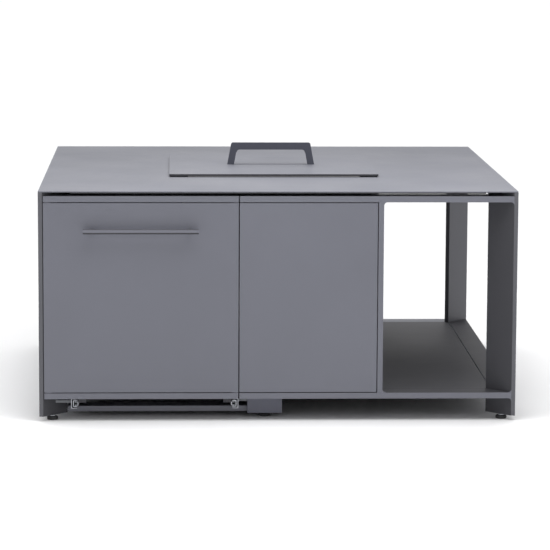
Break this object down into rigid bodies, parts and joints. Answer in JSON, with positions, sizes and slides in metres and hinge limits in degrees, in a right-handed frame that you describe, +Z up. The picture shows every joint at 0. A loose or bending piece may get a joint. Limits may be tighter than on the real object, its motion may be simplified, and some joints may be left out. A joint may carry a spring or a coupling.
{
  "type": "fire pit with grate",
  "caption": "Square gas fire pit table with a lift-off lid over a grate and burner pan, a gas bottle drawer, a closed centre unit and an open shelf bay on levelling feet.",
  "frame": {"origin": "centre of the whole object's footprint, drawer handle included, on the floor", "axes": "+Z up, the drawer front faces -Y, +X to the right as seen from the front"},
  "size_m": [1.2, 1.228, 0.649],
  "materials": {
    "graphite_coat": "satin fine-texture powder coat",
    "dark_coat": "satin fine-texture powder coat",
    "zinc": "bright zinc plate",
    "polished_steel": "polished stainless",
    "black_steel": "blackened",
    "cast_grate": "matt enamel",
    "brass": "turned, satin",
    "electrode_ceramic": "unglazed",
    "black_plastic": "fine grain",
    "pad_rubber": "matt",
    "foot_plastic": "matt"
  },
  "bodies": {
    "table": {"tabletop": "graphite_coat", "legs": "graphite_coat", "front_top_rail": "graphite_coat", "front_head_rail": "graphite_coat", "front_bottom_rail": "graphite_coat", "front_post": "graphite_coat", "bay_fillets": "graphite_coat", "rear_rails": "graphite_coat", "side_top_rails": "graphite_coat", "side_bottom_rails": "graphite_coat", "shelf": "dark_coat", "centre_panel": "graphite_coat", "centre_floor": "dark_coat", "divider_left": "graphite_coat", "divider_right": "graphite_coat", "control_recess": "dark_coat", "rear_panel_drawer": "graphite_coat", "rear_panel_centre": "graphite_coat", "left_side_panel": "graphite_coat", "front_stretcher": "dark_coat", "rear_stretcher": "dark_coat", "slide_bearers": "dark_coat", "front_foot_block": "dark_coat", "rear_foot_block": "dark_coat", "slide_outers": "zinc", "slide_tabs": "zinc", "top_screws": "black_steel", "burner_pan": "polished_steel", "pan_ledges": "polished_steel", "burner_ring": "zinc", "burner_feed": "brass", "electrodes": "electrode_ceramic", "gas_valve": "brass", "supply_pipe": "brass", "burner_pipe": "brass", "inlet_fitting": "brass", "button_bezel": "black_plastic"},
    "drawer": {"drawer_front_frame": "graphite_coat", "drawer_panel": "graphite_coat", "drawer_handle": "graphite_coat", "handle_screws": "zinc", "drawer_tray": "dark_coat", "bottle_ring": "dark_coat", "drawer_brackets": "dark_coat", "slide_inners": "zinc"},
    "slide_carriers": {"slide_middles": "zinc"},
    "grate": {"grate": "cast_grate"},
    "lid": {"lid_sheet": "graphite_coat", "lid_handle": "dark_coat", "lid_pads": "pad_rubber"},
    "knob": {"control_knob": "black_plastic"},
    "button": {"igniter_button": "black_plastic"},
    "foot_front_left": {"foot_front_left": "foot_plastic"},
    "foot_front_right": {"foot_front_right": "foot_plastic"},
    "foot_rear_left": {"foot_rear_left": "foot_plastic"},
    "foot_rear_right": {"foot_rear_right": "foot_plastic"},
    "foot_middle_front": {"foot_middle_front": "foot_plastic"},
    "foot_middle_rear": {"foot_middle_rear": "foot_plastic"}
  },
  "joints": [
    {"name": "drawer_slide", "type": "slide", "parent": "table", "child": "drawer", "axis": [0, -1, 0], "range_m": [0, 0.44]},
    {"name": "carrier_slide", "type": "slide", "parent": "table", "child": "slide_carriers", "axis": [0, -1, 0], "range_m": [0, 0.22]},
    {"name": "grate_lift", "type": "slide", "parent": "table", "child": "grate", "axis": [0, 0, 1], "range_m": [0, 0.15]},
    {"name": "lid_lift", "type": "slide", "parent": "grate", "child": "lid", "axis": [0, 0, 1], "range_m": [0, 0.25]},
    {"name": "knob_turn", "type": "hinge", "parent": "table", "child": "knob", "pos_m": [0.2397, -0.368, 0.43], "axis": [1, 0, 0], "range_deg": [-120, 0]},
    {"name": "button_press", "type": "slide", "parent": "table", "child": "button", "axis": [-1, 0, 0], "range_m": [0, 0.004], "stiffness_N_per_m": 600},
    {"name": "foot_front_left_turn", "type": "hinge", "parent": "table", "child": "foot_front_left", "pos_m": [-0.56818, -0.55418, 0], "axis": [0, 0, 1], "continuous": true},
    {"name": "foot_front_right_turn", "type": "hinge", "parent": "table", "child": "foot_front_right", "pos_m": [0.56818, -0.55418, 0], "axis": [0, 0, 1], "continuous": true},
    {"name": "foot_rear_left_turn", "type": "hinge", "parent": "table", "child": "foot_rear_left", "pos_m": [-0.56818, 0.58218, 0], "axis": [0, 0, 1], "continuous": true},
    {"name": "foot_rear_right_turn", "type": "hinge", "parent": "table", "child": "foot_rear_right", "pos_m": [0.56818, 0.58218, 0], "axis": [0, 0, 1], "continuous": true},
    {"name": "foot_middle_front_turn", "type": "hinge", "parent": "table", "child": "foot_middle_front", "pos_m": [-0.032, -0.514, 0], "axis": [0, 0, 1], "continuous": true},
    {"name": "foot_middle_rear_turn", "type": "hinge", "parent": "table", "child": "foot_middle_rear", "pos_m": [-0.032, 0.542, 0], "axis": [0, 0, 1], "continuous": true}
  ],
  "couplings": [
    {"joint": "carrier_slide", "follows": "drawer_slide", "ratio": 0.5}
  ]
}
